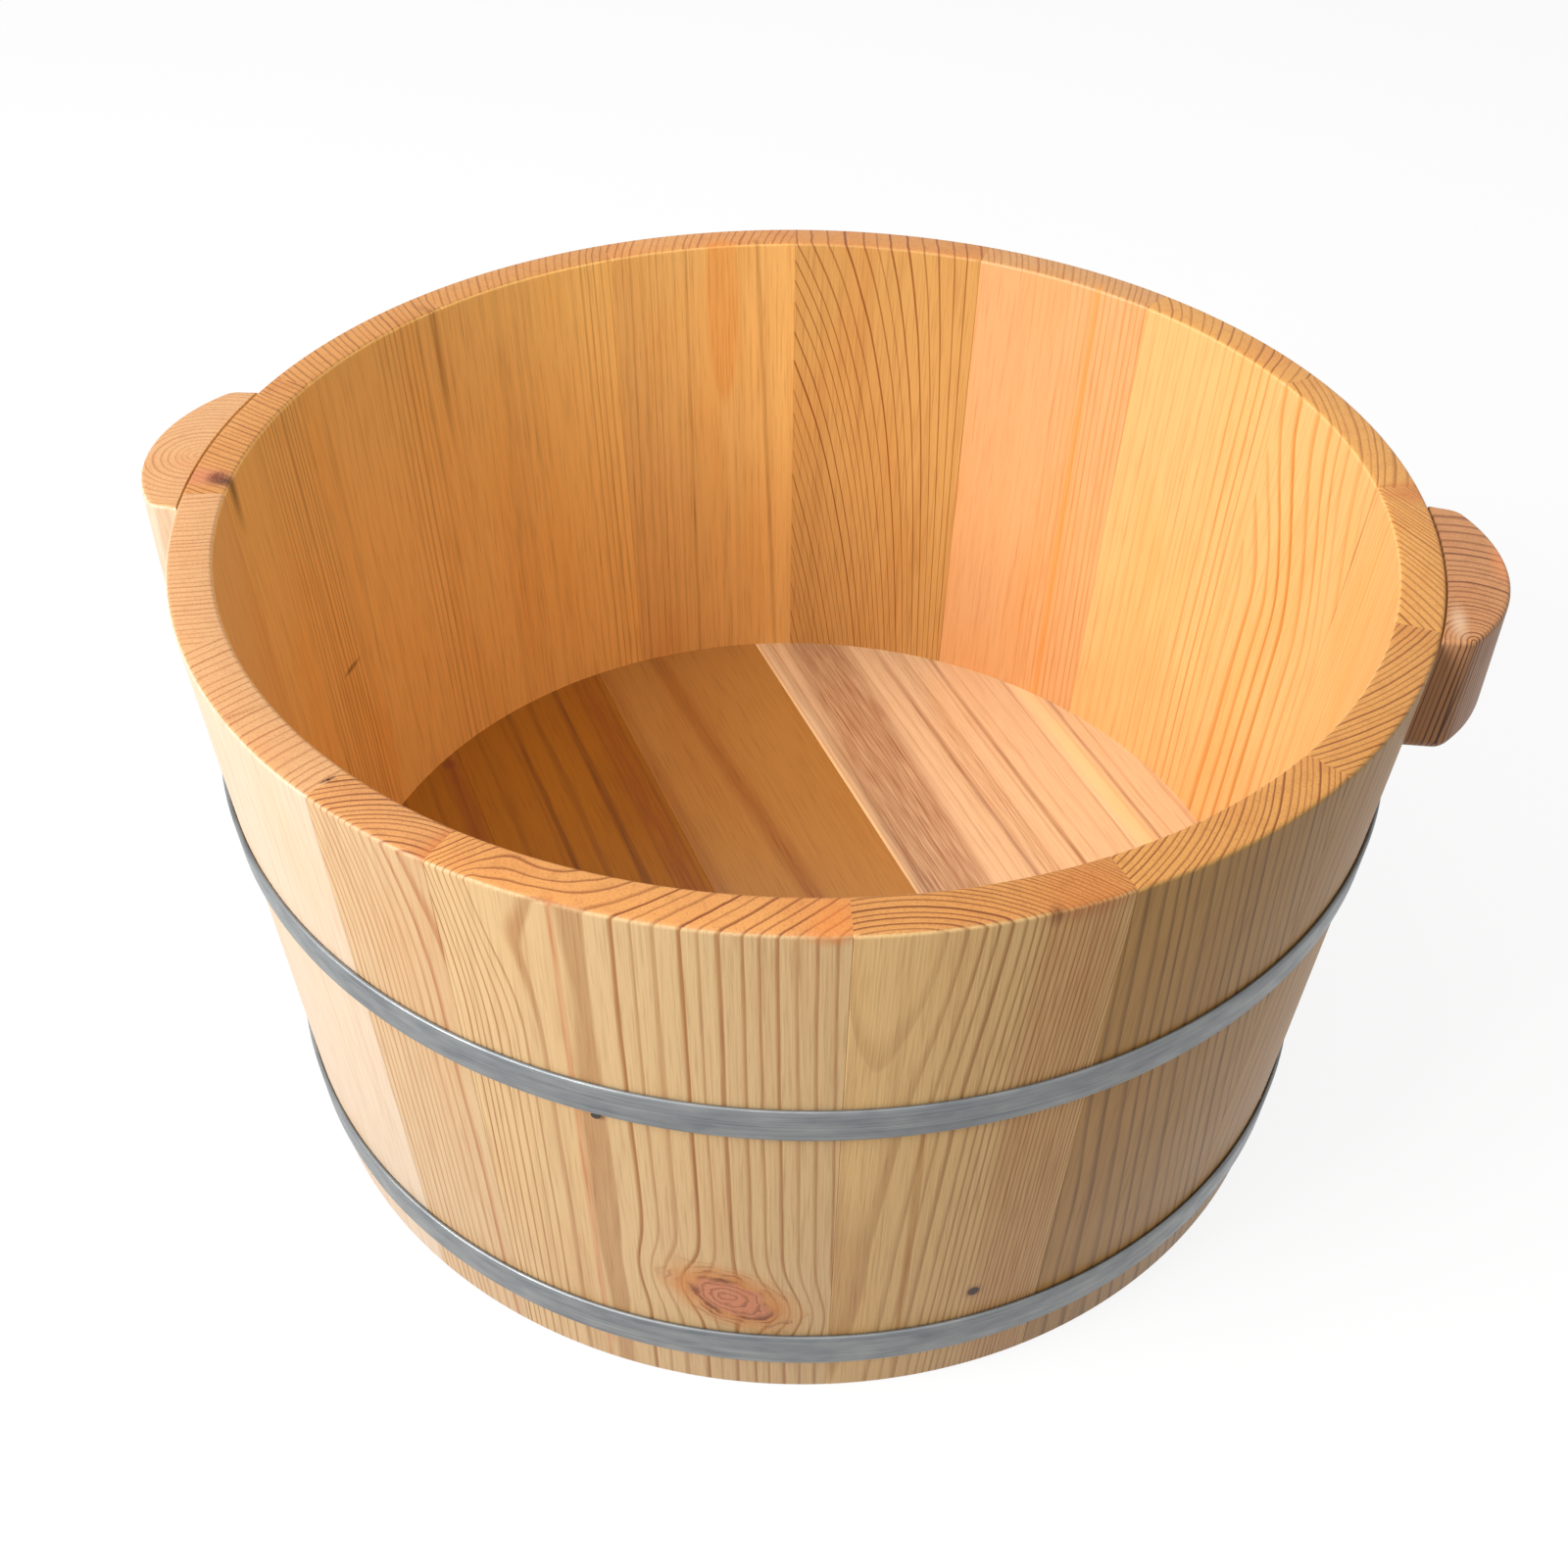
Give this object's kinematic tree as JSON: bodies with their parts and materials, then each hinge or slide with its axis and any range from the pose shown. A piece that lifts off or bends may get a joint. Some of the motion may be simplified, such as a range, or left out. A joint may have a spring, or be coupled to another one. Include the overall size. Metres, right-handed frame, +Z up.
{
  "type": "wooden foot bath",
  "caption": "Round coopered wooden foot tub that widens upwards, with a boarded floor let into the wall, steel hoops and a block handle on each side.",
  "frame": {"origin": "centre of the base ring, on the plane that the tub stands on", "axes": "+Z up to the rim, +X through the middle of the stave that carries the right handle, the other handle near -X"},
  "size_m": [0.4377, 0.3998, 0.224],
  "materials": {
    "stave_wood": "planed softwood with vertical grain under clear satin varnish",
    "floor_wood": "planed softwood boards under clear satin varnish, darker streaks",
    "handle_wood": "planed softwood with end grain on top, clear satin varnish",
    "hoop_steel": "dull grey-blue zinc coated steel band",
    "brad_steel": "dark blued steel"
  },
  "bodies": {
    "root": {"stave_01": "stave_wood", "stave_02": "stave_wood", "stave_03": "stave_wood", "stave_04": "stave_wood", "stave_05": "stave_wood", "stave_06": "stave_wood", "stave_07": "stave_wood", "stave_08": "stave_wood", "stave_09": "stave_wood", "stave_10": "stave_wood", "stave_11": "stave_wood", "stave_12": "stave_wood", "stave_13": "stave_wood", "stave_14": "stave_wood", "stave_15": "stave_wood", "stave_16": "stave_wood", "floor_board_1": "floor_wood", "floor_board_2": "floor_wood", "floor_board_3": "floor_wood", "floor_board_4": "floor_wood", "floor_board_5": "floor_wood", "floor_board_6": "floor_wood", "right_handle": "handle_wood", "left_handle": "handle_wood", "upper_hoop": "hoop_steel", "lower_hoop": "hoop_steel", "hoop_brad": "brad_steel"}
  },
  "joints": []
}
